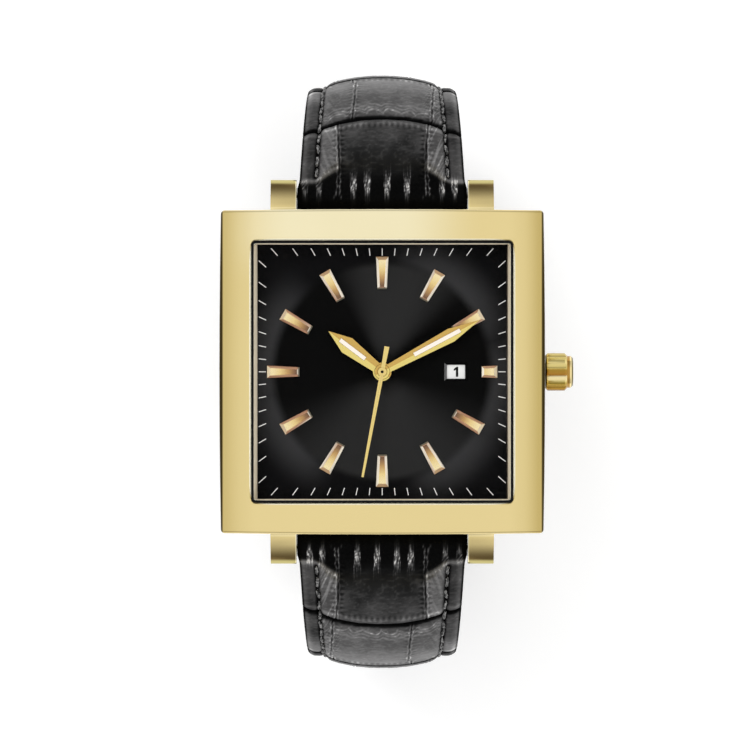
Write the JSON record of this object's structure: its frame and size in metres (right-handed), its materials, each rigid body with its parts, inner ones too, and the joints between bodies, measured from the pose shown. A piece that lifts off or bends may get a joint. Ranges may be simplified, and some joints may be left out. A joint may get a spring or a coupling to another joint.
{
  "type": "square wristwatch",
  "caption": "Square analogue wristwatch with a flat bezel, black dial, baton marks, date window, side crown and a padded leather strap buckled in a loop.",
  "frame": {"origin": "centre of the case back's outer face, the face that bears on the wrist, on the hands' axis", "axes": "+Z out of the dial towards the wearer's eye, +Y to 12 o'clock, +X to 3 o'clock and the crown"},
  "size_m": [0.0451, 0.0774, 0.0479],
  "materials": {
    "gold_case": "polished pale gold plating",
    "gold_trim": "polished pale rose gold plating",
    "steel_back": "fine brushed steel",
    "movement_metal": "nickel plate, fine circular graining",
    "black_rubber": "soft black rubber",
    "crystal_glass": "clear mineral glass",
    "black_dial": "black lacquer over sunray brushing",
    "date_white": "silver-white print ground",
    "light_inlay": "off-white light compound",
    "holder_plastic": "moulded grey plastic",
    "battery_steel": "bright nickel steel",
    "black_leather": "black embossed leather, semi-gloss"
  },
  "bodies": {
    "case": {"case_middle": "gold_case", "bezel": "gold_case", "crystal_gasket": "black_rubber", "crystal": "crystal_glass", "inner_flange": "gold_trim", "dial": "black_dial", "hour_marks": "gold_trim", "case_back": "steel_back", "case_back_screws": "steel_back", "case_back_gasket": "black_rubber", "movement": "movement_metal", "movement_holder": "holder_plastic", "battery": "battery_steel", "crown_tube": "steel_back", "lug_spring_bars": "steel_back", "strap_top": "black_leather", "strap_bottom": "black_leather", "buckle_frame": "gold_case", "buckle_spring_bar": "steel_back", "keeper_fixed": "black_leather"},
    "hour": {"hour_hand": "gold_trim", "hour_hand_inlay": "light_inlay", "hour_wheel_pipe": "movement_metal"},
    "minute": {"minute_hand": "gold_trim", "minute_hand_inlay": "light_inlay", "minute_pinion_pipe": "movement_metal"},
    "second": {"second_hand": "gold_trim", "second_arbor": "movement_metal"},
    "date": {"date_wheel": "date_white"},
    "setting_slide": {"setting_lever": "movement_metal"},
    "crown": {"crown": "gold_case", "crown_stem": "movement_metal", "crown_seal": "black_rubber"},
    "loose_keeper": {"keeper_sliding": "black_leather"},
    "tang": {"buckle_tang": "gold_case"}
  },
  "joints": [
    {"name": "second_turn", "type": "hinge", "parent": "case", "child": "second", "pos_m": [0, 0, 0.0076], "axis": [0, 0, -1], "continuous": true},
    {"name": "minute_turn", "type": "hinge", "parent": "case", "child": "minute", "pos_m": [0, 0, 0.0071], "axis": [0, 0, -1], "continuous": true},
    {"name": "hour_turn", "type": "hinge", "parent": "case", "child": "hour", "pos_m": [0, 0, 0.0066], "axis": [0, 0, -1], "continuous": true},
    {"name": "date_turn", "type": "hinge", "parent": "case", "child": "date", "pos_m": [0, 0, 0.0052], "axis": [0, 0, 1], "continuous": true},
    {"name": "crown_pull", "type": "slide", "parent": "case", "child": "setting_slide", "axis": [1, 0, 0], "range_m": [0, 0.0012]},
    {"name": "crown_turn", "type": "hinge", "parent": "setting_slide", "child": "crown", "pos_m": [0.02, 0, 0.0042], "axis": [1, 0, 0], "continuous": true},
    {"name": "keeper_slide", "type": "slide", "parent": "case", "child": "loose_keeper", "axis": [0, 1, 0], "range_m": [-0.0019, 0.0069]},
    {"name": "tang_lift", "type": "hinge", "parent": "case", "child": "tang", "pos_m": [0, -0.0032, -0.03276], "axis": [1, 0, 0], "range_deg": [0, 6]}
  ],
  "couplings": [
    {"joint": "minute_turn", "follows": "second_turn", "ratio": 0.016667},
    {"joint": "hour_turn", "follows": "second_turn", "ratio": 0.0013889},
    {"joint": "date_turn", "follows": "second_turn", "ratio": 0.000022401}
  ]
}
